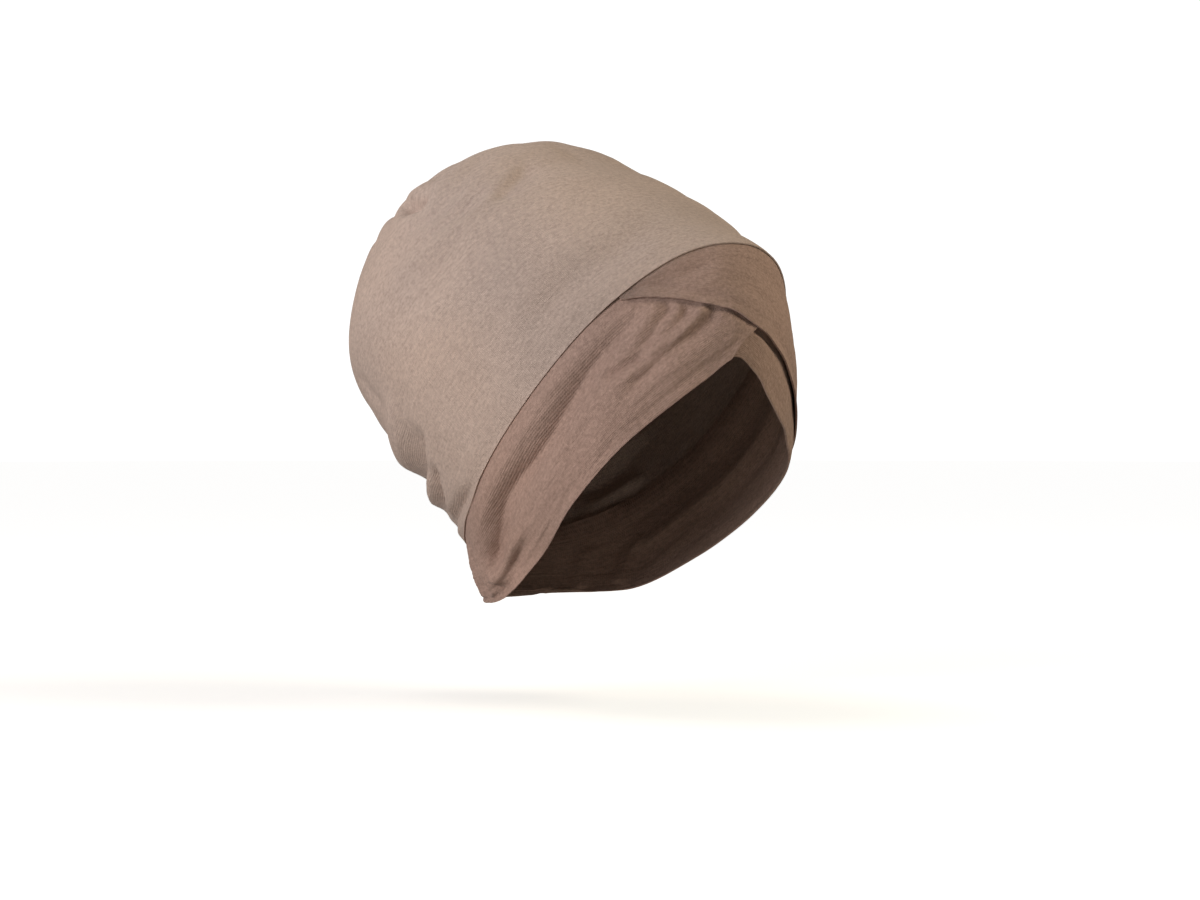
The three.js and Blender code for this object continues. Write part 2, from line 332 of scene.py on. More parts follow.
    def normal(self, turn: Array, reach: Array) -> Array:
        """Outward directions at the turns and reaches given."""
        low = np.maximum(reach - self.slope_reach, -1.0)
        high = np.minimum(reach + self.slope_reach, 1.0)
        round_it = self.point(turn + self.slope_turn, reach) - self.point(turn - self.slope_turn, reach)
        down = self.point(turn, high) - self.point(turn, low)
        return unit(np.cross(round_it, down))


@dataclass(frozen=True)
class Fold:
    """A fold of the cloth along a smooth line of places.

    Attributes:
        layer: The outermost layer that a valley sinks, or the innermost that a ridge lifts.
        path: The line, as pairs of turn and reach.
        depth: How deep it is in mm. A negative one stands out as a ridge.
        width: From the line to the fold's foot, in mm.
        skew: From -1 to 1: above 0, the side to the line's left as seen from inside is the wider.
        sharp: 2 for a round bottom, and about 1 for a crease.
        lip: Share of the depth by which the cloth beside it lifts.
        fade: Shares of the line over which it grows and dies out.
        STEPS: Straight lengths along the line.
        SPREAD: Widths from the line at which the fold has died out.
        TURNOVER: Share of the width in which a skewed fold changes from one side's width to the other's.
        LIP_PLACE: Widths from the line to the middle of the lip.
        LIP_WIDTH: How wide the lip is, in widths of the fold.
        OVERRUN: Share of the line by which the growing and dying out run past its ends.
    """

    STEPS: ClassVar[int] = 28
    SPREAD: ClassVar[float] = 4.5
    TURNOVER: ClassVar[float] = 0.12
    LIP_PLACE: ClassVar[float] = 1.8
    LIP_WIDTH: ClassVar[float] = 0.6
    OVERRUN: ClassVar[float] = 0.02

    layer: Layer
    path: tuple[tuple[float, float], ...]
    depth: float
    width: float
    skew: float = 0.0
    sharp: float = 2.0
    lip: float = 0.15
    fade: tuple[float, float] = (0.3, 0.3)

    def moves(self, layer: Layer) -> bool:
        """Whether the fold is in that layer of cloth."""
        return layer.value >= self.layer.value if self.depth > 0 else layer.value <= self.layer.value

    def lift(self, form: CapForm, points: Array) -> Array:
        """How far the fold lifts each point of the form, below 0 where the cloth sinks."""
        knots = np.linspace(0, 1, len(self.path))
        share = np.linspace(0, 1, self.STEPS + 1)
        turn, reach = (Curve(tuple(zip(knots, column))).at(share) for column in zip(*self.path))
        line, normals = form.point(turn, reach), form.normal(turn, reach)
        lift = np.zeros(len(points))
        margin = self.SPREAD * self.width * MM
        near = np.all((points > line.min(0) - margin) & (points < line.max(0) + margin), axis=1)
        if not near.any():
            return lift
        seen = points[near]
        best = np.full(len(seen), np.inf)
        side = np.zeros(len(seen))
        along = np.zeros(len(seen))
        for i in range(self.STEPS):
            run = line[i + 1] - line[i]
            t = np.clip((seen - line[i]) @ run / (run @ run), 0, 1)
            arm = seen - (line[i] + t[:, None] * run)
            far = np.linalg.norm(arm, axis=1)
            closer = far < best
            best[closer] = far[closer]
            side[closer] = (arm @ unit(np.cross(normals[i], run)))[closer]
            along[closer] = (i + t[closer]) / self.STEPS
        turned = np.tanh(side / (self.TURNOVER * self.width * MM))
        away = best / (self.width * MM * (1 + self.skew * turned))
        lip = self.lip * np.exp(-(((away - self.LIP_PLACE) / self.LIP_WIDTH) ** 2))
        grown = smoothstep(along, -self.OVERRUN, self.fade[0])
        left = 1 - smoothstep(along, 1 - self.fade[1], 1 + self.OVERRUN)
        lift[near] = -self.depth * MM * (np.exp(-(away**self.sharp)) - lip) * (grown * left)
        return lift


CROWN, OVER, UNDER, INNER = Layer.CROWN, Layer.OVER, Layer.UNDER, Layer.INNER


def crown_folds() -> tuple[Fold, ...]:
    """Folds of the crown, from the wearer's right round to the left."""
    return (
        # Soft trough beside the seam, and the dimple high on the side
        Fold(CROWN, ((74, -0.06), (63, -0.105), (54, -0.115), (43, -0.107), (30, -0.117), (12, -0.17)),
             2.6, 9.5),
        Fold(CROWN, ((47, -0.42), (41, -0.445), (35, -0.47), (28, -0.5), (22, -0.535)),
             4.4, 7.0, skew=-0.5, sharp=1.5, lip=0.0),
        # Drag lines from there down to the back
        Fold(CROWN, ((94, -0.52), (82, -0.495), (67, -0.47), (54, -0.463), (42, -0.49)),
             3.2, 7.0, skew=0.3),
        Fold(CROWN, ((98, -0.47), (86, -0.425), (72, -0.387), (57, -0.38)), 2.8, 7.0, skew=0.3),
        Fold(CROWN, ((104, -0.42), (90, -0.385), (76, -0.355), (60, -0.343)), 2.2, 7.5),
        Fold(CROWN, ((64, -0.5), (52, -0.475), (40, -0.495)), 1.5, 5.0),
        Fold(CROWN, ((86, -0.57), (72, -0.535), (60, -0.515), (46, -0.54)), 2.6, 6.0, skew=0.3),
        # Pinch near the gathered end
        Fold(CROWN, ((75, -0.66), (70, -0.635), (66, -0.61), (61, -0.575)),
             8.0, 4.6, skew=-0.45, sharp=1.5, lip=0.1),
        Fold(CROWN, ((72, -0.7), (65, -0.67), (58, -0.64)), -2.2, 6.0),
        Fold(CROWN, ((63, -0.6), (54, -0.6), (39, -0.655)), -1.6, 8.0),
        Fold(CROWN, ((60, -0.66), (48, -0.68), (36, -0.72)), 2.2, 5.0),
        Fold(CROWN, ((52, -0.57), (44, -0.585), (32, -0.63)), 1.0, 5.0),
        # Puckers over the nape on the wearer's right: rolls with pockets under them
        Fold(CROWN, ((112, -0.31), (124, -0.285), (140, -0.28), (160, -0.3)), -3.2, 8.0),
        Fold(CROWN, ((113, -0.22), (122, -0.2), (134, -0.185), (148, -0.19), (164, -0.21)),
             8.0, 7.6, skew=-0.25),
        Fold(CROWN, ((122, -0.15), (138, -0.135), (156, -0.145)), -2.2, 4.6),
        Fold(CROWN, ((121, -0.13), (127, -0.125), (132, -0.105), (140, -0.09), (154, -0.09)),
             6.0, 4.8, skew=-0.3, sharp=1.7),
        Fold(CROWN, ((104, -0.09), (112, -0.07), (119, -0.055)), 0.8, 4.5),
        Fold(CROWN, ((108, -0.13), (116, -0.11), (124, -0.08)), 0.7, 5.0),
        Fold(CROWN, ((121, -0.44), (124, -0.38), (122, -0.3)), 1.4, 5.0),
        Fold(CROWN, ((104, -0.28), (114, -0.265), (128, -0.255)), 1.4, 5.5),
        Fold(CROWN, ((112, -0.008), (120, -0.018), (128, -0.03), (136, -0.042), (148, -0.058),
                    (160, -0.06)),
             4.6, 3.4, sharp=1.4, fade=(0.35, 0.3)),
        # Over the middle of the nape
        Fold(CROWN, ((160, -0.3), (172, -0.27), (188, -0.28), (200, -0.31)), 4.2, 6.5, sharp=1.6),
        Fold(CROWN, ((164, -0.36), (180, -0.35), (196, -0.38)), -2.0, 9.0),
        Fold(CROWN, ((158, -0.13), (172, -0.115), (186, -0.12), (198, -0.15)), 3.6, 5.5, sharp=1.6),
        Fold(CROWN, ((166, -0.2), (180, -0.19), (194, -0.2)), -1.8, 6.0),
        Fold(CROWN, ((170, -0.05), (184, -0.045), (196, -0.06)), 2.4, 4.5, sharp=1.5),
        Fold(CROWN, ((150, -0.42), (163, -0.44), (176, -0.5)), 1.8, 7.0),
        # Puckers over the nape on the wearer's left
        Fold(CROWN, ((-112, -0.3), (-126, -0.28), (-142, -0.27), (-160, -0.3)), -2.4, 9.0),
        Fold(CROWN, ((-110, -0.21), (-123, -0.205), (-137, -0.185), (-152, -0.2), (-166, -0.22)),
             5.4, 6.4, skew=0.35, sharp=1.5),
        Fold(CROWN, ((-122, -0.15), (-137, -0.14), (-156, -0.15)), -1.6, 5.5),
        Fold(CROWN, ((-121, -0.1), (-133, -0.09), (-147, -0.08)), 4.0, 4.8, skew=0.3, sharp=1.5),
        Fold(CROWN, ((-102, -0.1), (-111, -0.08), (-118, -0.05)), 0.9, 5.0),
        Fold(CROWN, ((-128, -0.03), (-141, -0.045), (-156, -0.04)), 3.0, 3.8, sharp=1.4),
        Fold(CROWN, ((-104, -0.3), (-118, -0.36), (-128, -0.44)), 1.5, 6.5),
        # Drag lines of the wearer's left and the top
        Fold(CROWN, ((-94, -0.56), (-80, -0.53), (-62, -0.49), (-44, -0.48)), 1.5, 8.0, skew=-0.3),
        Fold(CROWN, ((-100, -0.45), (-84, -0.41), (-66, -0.385), (-50, -0.39)), 1.3, 8.0, skew=-0.3),
        Fold(CROWN, ((-104, -0.35), (-88, -0.3), (-70, -0.285)), 0.9, 8.0),
        Fold(CROWN, ((-70, -0.06), (-58, -0.1), (-42, -0.12), (-20, -0.13), (0, -0.17)), 1.4, 9.0),
        Fold(CROWN, ((-78, -0.66), (-68, -0.6), (-60, -0.54)), 2.4, 5.4, sharp=1.7, lip=0.2),
        Fold(CROWN, ((-20, -0.62), (-26, -0.54), (-38, -0.47)), 1.9, 6.5, fade=(0.2, 0.6)),
        Fold(CROWN, ((6, -0.64), (4, -0.54), (8, -0.44)), 1.3, 7.0, fade=(0.2, 0.6)),
        Fold(CROWN, ((-4, -0.4), (-24, -0.33), (-44, -0.3)), 0.9, 9.0),
    )


def band_folds() -> tuple[Fold, ...]:
    """Folds of the bands, from the wearer's right round to the left."""
    return (
        # The under band's puffed strip, which rolls over into a long crease down to the nape
        Fold(UNDER, ((50, 0.09), (60, 0.12), (72, 0.13), (84, 0.14), (96, 0.145), (107, 0.15),
                    (116, 0.17), (124, 0.2)),
             -2.2, 6.5, fade=(0.4, 0.2)),
        Fold(UNDER, ((41, 0.17), (47, 0.2), (54, 0.22), (64, 0.235), (76, 0.3), (85, 0.345), (92, 0.34),
                    (100, 0.305), (107, 0.285), (112, 0.31), (117, 0.37), (122, 0.43), (126, 0.5),
                    (130, 0.6)),
             9.2, 11.5, skew=0.5, sharp=1.35, lip=0.0, fade=(0.35, 0.1)),
        # Its pleats, which fan out from under the over band's edge
        Fold(UNDER, ((33, 0.3), (37, 0.345), (41, 0.375), (46, 0.41), (51, 0.435), (58, 0.45)),
             3.0, 4.0, sharp=1.5, fade=(0.12, 0.5)),
        Fold(UNDER, ((28, 0.4), (32, 0.44), (37, 0.475), (42, 0.49), (48, 0.505)),
             2.7, 3.6, sharp=1.5, fade=(0.12, 0.5)),
        Fold(UNDER, ((19, 0.53), (25, 0.56), (31, 0.58), (38, 0.6), (44, 0.62), (50, 0.64), (57, 0.67),
                    (64, 0.72)),
             2.8, 3.6, sharp=1.4, fade=(0.1, 0.25)),
        Fold(UNDER, ((19, 0.6), (30, 0.645), (37, 0.665), (44, 0.7)), 1.0, 3.4, fade=(0.1, 0.6)),
        Fold(UNDER, ((37, 0.24), (42, 0.285), (47, 0.315), (52, 0.335), (59, 0.34)),
             -1.2, 5.0, fade=(0.3, 0.5)),
        Fold(UNDER, ((31, 0.36), (36, 0.405), (41, 0.435), (47, 0.465)), -1.6, 3.4, fade=(0.25, 0.5)),
        Fold(UNDER, ((21, 0.465), (27, 0.495), (33, 0.525), (39, 0.54), (45, 0.56)),
             -2.4, 3.6, fade=(0.2, 0.5)),
        # Creases across its middle
        Fold(UNDER, ((63, 0.4), (59, 0.435), (55, 0.48), (50, 0.515), (45, 0.57)), 3.4, 3.2, sharp=1.4),
        Fold(UNDER, ((58, 0.5), (52, 0.545), (46, 0.6)), -1.2, 3.0),
        Fold(UNDER, ((66, 0.58), (76, 0.68), (86, 0.72)), 1.2, 6.0),
        Fold(UNDER, ((74, 0.5), (88, 0.56), (102, 0.52)), -1.4, 8.0),
        # Round to the nape: a lit ridge between two tucks
        Fold(UNDER, ((106, 0.5), (115, 0.52), (123, 0.58), (130, 0.66)), 2.4, 4.6, fade=(0.5, 0.3)),
        Fold(UNDER, ((102, 0.6), (111, 0.645), (118, 0.66), (124, 0.705), (131, 0.77)),
             -3.4, 4.6, fade=(0.6, 0.1)),
        Fold(UNDER, ((103, 0.7), (110, 0.74), (117, 0.77), (124, 0.8), (131, 0.84)),
             4.4, 6.0, skew=0.4, sharp=1.5, fade=(0.8, 0.02)),
        Fold(UNDER, ((134, 0.08), (139, 0.3), (140, 0.55), (139, 0.9)),
             3.6, 5.0, sharp=1.5, fade=(0.2, 0.1)),
        Fold(UNDER, ((150, 0.1), (153, 0.4), (153, 0.9)), 2.8, 5.5, sharp=1.5, fade=(0.2, 0.1)),
        Fold(UNDER, ((166, 0.08), (168, 0.45), (166, 0.95)), 2.4, 5.5, fade=(0.3, 0.1)),
        # The cloth under the over band's edge lies back from it
        Fold(UNDER, ((47, 0.04), (42, 0.11), (33, 0.26), (25, 0.4), (17, 0.54), (8, 0.63)),
             1.7, 3.0, sharp=1.8, fade=(0.15, 0.02)),
        # Over the forehead, where the over band lies taut
        Fold(OVER, ((41, 0.08), (32, 0.125), (24, 0.13), (11, 0.09)), 1.7, 7.5),
        Fold(OVER, ((33, 0.14), (14, 0.33), (-8, 0.42), (-30, 0.46)), 1.0, 7.0, fade=(0.4, 0.4)),
        Fold(OVER, ((20, 0.2), (0, 0.24), (-24, 0.22), (-46, 0.26)), 1.1, 8.0, fade=(0.4, 0.4)),
        Fold(OVER, ((-8, 0.56), (-24, 0.56), (-42, 0.6)), 0.8, 5.5),
        # The over band's own valley, creases and nape folds on the wearer's left
        Fold(OVER, ((-46, 0.28), (-58, 0.31), (-70, 0.35), (-82, 0.4), (-94, 0.41), (-107, 0.38),
                    (-120, 0.38), (-130, 0.42)),
             4.6, 7.8, skew=0.25, sharp=1.7, fade=(0.4, 0.12)),
        Fold(OVER, ((-54, 0.46), (-64, 0.55), (-76, 0.6)), 1.4, 4.0, sharp=1.3),
        Fold(OVER, ((-60, 0.66), (-74, 0.68), (-88, 0.66)), 1.0, 5.0),
        Fold(OVER, ((-104, 0.56), (-116, 0.6), (-128, 0.7)), 2.0, 4.6, sharp=1.4),
        Fold(OVER, ((-126, 0.25), (-133, 0.45), (-137, 0.85)), 3.0, 5.0, sharp=1.5, fade=(0.2, 0.1)),
        Fold(OVER, ((-146, 0.1), (-150, 0.45), (-151, 0.9)), 2.6, 5.0, sharp=1.5, fade=(0.2, 0.1)),
        Fold(OVER, ((-164, 0.08), (-166, 0.5), (-165, 0.95)), 2.0, 5.5, fade=(0.3, 0.1)),
        # The inner band lies back from the over band's edge
        Fold(INNER, ((-30, 0.665), (-21, 0.65), (-12, 0.645), (1, 0.655), (10, 0.62)),
             2.6, 2.6, fade=(0.8, 0.08)),
    )


@dataclass(frozen=True)
class GatheredEnd:
    """Pleats that draw the crown in to its gathered end.

    Attributes:
        pleats: How many there are.
        depth: How deep they are.
        start: Share of the way to the gathered end at which they begin.
        full: And the share at which they are at their full depth.
        dimple: How deep the middle is drawn in.
        growth: How slowly they begin.
        plump: Below 1 the ridges are round and the valleys narrow.
        middle: Share of the depth that lies below the smooth form.
        shift: Where the pleats start round the cap, in radians.
        wander: Waves by which the pleats stand unevenly.
        late: Waves by which they begin sooner or later.
        fine_depth: Share of the depth of the fine pleats between them.
        fine_pleats: How many fine ones there are.
        fine_lean: How much these slant.
        fine_start: Share of the way at which they begin.
        fine_full: And the share at which they are at their full depth.
    """

    pleats: int = 15
    depth: float = 3.4 * MM
    start: float = 0.56
    full: float = 0.93
    dimple: float = 8 * MM
    growth: float = 1.5
    plump: float = 0.7
    middle: float = 0.75
    shift: float = 0.4
    wander: tuple[Triple, ...] = ((0.16, 3, 0.7), (0.09, 7, 1.9))
    late: tuple[Triple, ...] = ((0.1, 4, 2.2), (0.07, 9, 0.0))
    fine_depth: float = 0.18
    fine_pleats: int = 41
    fine_lean: float = 4.0
    fine_start: float = 0.7
    fine_full: float = 0.95

    def lift(self, turn: Array, reach: Array) -> Array:
        """How far the pleats lift the cloth at the turns and reaches given."""
        angle = np.radians(turn)
        half_turns = 0.5 * self.pleats * (angle + waves(angle, self.wander))
        ridge = np.abs(np.sin(half_turns + self.shift)) ** self.plump
        grown = smoothstep(waves(angle, self.late) - reach, self.start, self.full) ** self.growth
        fine = self.fine_depth * np.sin(self.fine_pleats * angle + self.fine_lean * reach)
        fine *= smoothstep(-reach, self.fine_start, self.fine_full)
        return self.depth * grown * (ridge - self.middle + fine)


@dataclass
class ClothPiece:
    """One piece of jersey of the cap, laid over the form with its folds.

    Attributes:
        form: The cap's smooth form.
        finish: What the cloth looks like.
        name: The piece's name in the frame.
        layer: Which layer of cloth it is.
        columns: Faces along the flat cut.
        rows: Faces across it.
        wall: Thickness of the cloth.
        cut: Length and depth of the flat cut.
        cut_area: Its area, in square metres; not used.
        step: From the outer face of one layer to that of the next.
        tuck: Width of a band's margin under the crown's edge.
        closed: Whether the cut's ends meet.
        wear_width: How far wear reaches from a worn edge.
        rim_angle: Degrees past which an edge of the wall is rounded.
        rim_share: Share of the wall by which it is.
        rim_steps: Faces round it.
        crumples: Height of each unevenness, how often it comes round and along the cap, and its shift.
    """

    form: CapForm
    finish: "JerseyFinish"
    name: str
    layer: Layer
    columns: int
    rows: int
    wall: float
    cut: tuple[float, float]
    cut_area: float
    step: float = 1.15 * MM
    tuck: float = 9 * MM
    closed: bool = True
    wear_width: float = 2.5 * MM
    rim_angle: float = 62.0
    rim_share: float = 0.42
    rim_steps: int = 3
    crumples: tuple[tuple[float, ...], ...] = ((0.5 * MM, 1.8, 9, 0), (0.28 * MM, 4, 26, 5))

    def places(self, across: Array, down: Array) -> tuple[Array, Array]:
        """Where each point of the flat cut lies on the cap.

        Args:
            across: Shares of the way along the cut's length.
            down: Shares of the way along its depth.

        Returns:
            The turns and the reaches.
        """
        raise NotImplementedError

    def depth_below(self, turn: Array, reach: Array) -> Array:
        """How far the piece lies below the outermost layer at the turns and reaches given."""
        raise NotImplementedError

    def trim_lift(self, turn: Array, reach: Array) -> Array:
        """How far its seams and edges stand up at the turns and reaches given."""
        raise NotImplementedError

    def edge_distance(self, turn: Array, reach: Array) -> Array:
        """Metres to the nearest worn edge at the turns and reaches given."""
        raise NotImplementedError

    def shape(self, turn: Array, reach: Array) -> Array:
        """Points of the outer face at the turns and reaches given, with every fold and seam."""
        points, normals = self.form.point(turn, reach), self.form.normal(turn, reach)
        lift = self.trim_lift(turn, reach) - self.depth_below(turn, reach)
        for fold in (*crown_folds(), *band_folds()):
            if fold.moves(self.layer):
                lift += fold.lift(self.form, points)
        lift += self.crumple(turn, reach)
        return points + normals * lift[:, None]

    def crumple(self, turn: Array, reach: Array) -> Array:
        """Lift of the small unevenness that any worn jersey has, drawn out along the seam."""
        lift = np.zeros_like(turn)
        for height, around, along, shift in self.crumples:
            x, y = around * np.cos(np.radians(turn)) + shift, around * np.sin(np.radians(turn))
            lift += [height * noise.noise(Vector(place)) for place in zip(x, y, along * reach)]
        return lift

    def build(self) -> bpy.types.Object:
        """Lays the flat cut over the cap.

        Returns:
            The finished piece, a wall of cloth with rounded edges.
        """
        bm = bmesh.new()
        chart = bm.loops.layers.uv.new(CHART)
        bmesh.ops.create_grid(bm, x_segments=self.columns, y_segments=self.rows, size=1.0, calc_uvs=True)
        flat = np.array([vertex.co for vertex in bm.verts])
        turn, reach = self.places((flat[:, 0] + 1) / 2, (flat[:, 1] + 1) / 2)
        for vertex, point in zip(bm.verts, self.shape(turn, reach)):
            vertex.co = point
        wear = bm.verts.layers.float.new(WEAR)
        for vertex, far in zip(bm.verts, self.edge_distance(turn, reach)):
            vertex[wear] = math.exp(-far / self.wear_width)
        for face in bm.faces:
            for loop in face.loops:
                u, v = loop[chart].uv
                loop[chart].uv = (u * self.cut[0], v * self.cut[1])
        if self.closed:
            bmesh.ops.remove_doubles(bm, verts=bm.verts, dist=0.001 * MM)
        bmesh.ops.recalc_face_normals(bm, faces=bm.faces)
        middle = sum((face.calc_center_median() for face in bm.faces), Vector()) / len(bm.faces)
        if sum(face.normal.dot(face.calc_center_median() - middle) for face in bm.faces) < 0:
            bmesh.ops.reverse_faces(bm, faces=bm.faces)
        mesh = bpy.data.meshes.new(self.name)
        bm.to_mesh(mesh)
        bm.free()
        mesh.shade_smooth()
        piece = in_scene(self.name + "_jersey", mesh)
        wall = piece.modifiers.new("Wall", "SOLIDIFY")
        wall.thickness = self.wall
        wall.offset = -1.0
        wall.use_quality_normals = True
        rim = piece.modifiers.new("Rim", "BEVEL")
        rim.limit_method = "ANGLE"
        rim.angle_limit = math.radians(self.rim_angle)
        rim.width = self.rim_share * self.wall
        rim.segments = self.rim_steps
        return piece

    def dress(self, piece: bpy.types.Object) -> None:
        """Gives the piece its finish, body and place in the record.

        Args:
            piece: What build returned.
        """
        piece.data.materials.append(self.finish.material())
        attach(piece, "root")
        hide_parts(self.name)


@dataclass
class Crown(ClothPiece):
    """The roomy crown, from the seam back to its gathered end.

    Attributes:
        gather: Its pleats there.
        seam_rows: Share of evenness in how its rows are laid: below 1 they lie closer near the seam.
        knot_share: Share of its rows that form the drawn-in knot.
        knot_draw: How fast these close in.
        edge_dip: How far its edge is drawn down at the seam.
        edge_width: How far from the seam that reaches.
    """

    gather: GatheredEnd = GatheredEnd()
    seam_rows: float = 0.72
    knot_share: float = 0.04
    knot_draw: float = 1.2
    edge_dip: float = 0.3 * MM
    edge_width: float = 3.0 * MM

    def places(self, across: Array, down: Array) -> tuple[Array, Array]:
        """Where each point of the flat cut lies, closest together near the seam."""
        share = np.minimum(down / (1 - self.knot_share), 1.0)
        return across * 360 - 180, -(self.seam_rows * share + (1 - self.seam_rows) * share**2)

    def depth_below(self, turn: Array, reach: Array) -> Array:
        """The crown is outermost."""
        return np.zeros_like(turn)

    def trim_lift(self, turn: Array, reach: Array) -> Array:
        """The edge is drawn down at the seam, and pleats run into the gathered end."""
        dip = line_of(self.edge_distance(turn, reach), self.edge_dip, self.edge_width)
        return self.gather.lift(turn, reach) - dip

    def edge_distance(self, turn: Array, reach: Array) -> Array:
        """Metres to the seam."""
        return -reach * self.form.crown_depth

    def shape(self, turn: Array, reach: Array) -> Array:
        """Points of the outer face, closed by a drawn-in knot of pleats."""
        points = super().shape(turn, reach)
        per_row = self.columns + 1
        first = int(np.argmax(reach <= TINY - 1)) // per_row
        ring = points[first * per_row : (first + 1) * per_row]
        middle = ring[:-1].mean(axis=0)
        inward = self.form.place(0.0, 0.0, -1.0) - self.form.place(0.0, 0.0, 0.0)
        last = len(points) // per_row - 1
        for row in range(first, last + 1):
            share = (row - first) / max(last - first, 1)
            sunk = self.gather.dimple * math.sin(share * math.pi / 2)
            points[row * per_row : (row + 1) * per_row] = (
                middle + (ring - middle) * (1 - share) ** self.knot_draw + inward * sunk
            )
        return points


@dataclass
class CrossedBand(ClothPiece):
    """A doubled band from the nape round over the forehead to its tuck under the crown's edge.

    Attributes:
        edge: The reach of its free edge, over turns towards its own side.
        side: 1 if it comes round the wearer's right, and -1 if round the left.
        tuck_turn: Degrees past the forehead at which it ends.
        cross_margin: Degrees in which it sinks to pass under the other band.
        passes_under: Whether it does.
        nape_turn: Degrees at which it begins, just clear of the other band's end.
        seam_dip: How far it dips into the seam.
        seam_width: How far from the seam that reaches.
        hem_height: How far its folded edge stands proud.
        hem_width: How far in that reaches.
        stitch_depth: How far the stitching draws the hem in.
        stitch_place: How far from the edge the stitching runs.
        stitch_width: How wide it draws the cloth in.
    """

    edge: Curve = Curve(((0, 1), (1, 1)))
    side: int = 1
    tuck_turn: float = 48.0
    cross_margin: float = 12.0
    passes_under: bool = False
    nape_turn: float = 179.92
    seam_dip: float = 0.3 * MM
    seam_width: float = 1.5 * MM
    hem_height: float = 0.35 * MM
    hem_width: float = 2.4 * MM
    stitch_depth: float = 0.6 * MM
    stitch_place: float = 7 * MM
    stitch_width: float = 3 * MM

    def places(self, across: Array, down: Array) -> tuple[Array, Array]:
        """Where each point of the flat cut lies, from the seam's margin to the free edge."""
        turn = self.nape_turn - across * (self.nape_turn + self.tuck_turn)
        top = -self.tuck / self.form.crown_depth
        bottom = np.minimum(self.edge.at(-turn), 1.0)
        return turn * self.side, top + (bottom - top) * down

    def depth_below(self, turn: Array, reach: Array) -> Array:
        """One layer down, and two where the other band crosses on top."""
        if not self.passes_under:
            return np.full_like(turn, self.step)
        margin = smoothstep(turn, self.tuck_turn, self.tuck_turn + self.cross_margin)
        return self.step * (2 - margin)

    def trim_lift(self, turn: Array, reach: Array) -> Array:
        """The folded edge stands proud, and the cloth dips into the seam."""
        far = self.edge_distance(turn, reach)
        hem = line_of(far, self.hem_height, self.hem_width)
        stitching = line_of(far - self.stitch_place, self.stitch_depth, self.stitch_width)
        seam = line_of(reach * self.form.band_drop, self.seam_dip, self.seam_width)
        return hem - stitching - seam

    def edge_distance(self, turn: Array, reach: Array) -> Array:
        """Metres to the free edge."""
        return np.abs(self.edge.at(-turn * self.side) - reach) * self.form.band_drop


@dataclass
class InnerBand(ClothPiece):
    """The plain band inside the other two, round the whole face opening.

    Attributes:
        edge: The reach of its free edge.
        tuck_turn: Degrees from the forehead at which the bands over it end.
        cross_margin: Degrees in which it sinks to pass under their crossing.
        set_back: How far it lies back from them.
    """

    edge: Curve = Curve(((0, 1), (1, 1)))
    tuck_turn: float = 48.0
    cross_margin: float = 12.0
    set_back: float = 0.25 * MM

    def places(self, across: Array, down: Array) -> tuple[Array, Array]:
        """Where each point of the flat cut lies, from the seam's margin to the free edge."""
        turn = across * 360 - 180
        top = -self.tuck / self.form.crown_depth
        return turn, top + (np.minimum(self.edge.at(turn), 1.0) - top) * down

    def depth_below(self, turn: Array, reach: Array) -> Array:
        """Two layers down, and three under the crossing."""
        margin = smoothstep(np.abs(turn), self.tuck_turn, self.tuck_turn + self.cross_margin)
        return self.step * (3 - margin)

    def trim_lift(self, turn: Array, reach: Array) -> Array:
        """The cloth lies back a little from the bands over it."""
        return np.full_like(turn, -self.set_back)

    def edge_distance(self, turn: Array, reach: Array) -> Array:
        """Metres to the free edge."""
        return np.abs(self.edge.at(turn) - reach) * self.form.band_drop


@dataclass(frozen=True)
class Tap:
    """A socket of a material, whose arithmetic adds Math nodes."""

    shader: "ClothShader"
    socket: bpy.types.NodeSocket

    def __add__(self, other: "Tap | float") -> "Tap":
        """The sum."""
        return self.shader.math("ADD", self, other)

    def __sub__(self, other: "Tap | float") -> "Tap":
        """The difference."""
        return self.shader.math("SUBTRACT", self, other)

    def __rsub__(self, other: "Tap | float") -> "Tap":
        """The difference from a number."""
        return self.shader.math("SUBTRACT", other, self)

    def __mul__(self, other: "Tap | float") -> "Tap":
        """The product."""
        return self.shader.math("MULTIPLY", self, other)

    def __truediv__(self, other: "Tap | float") -> "Tap":
        """The quotient."""
        return self.shader.math("DIVIDE", self, other)

    __radd__ = __add__
    __rmul__ = __mul__


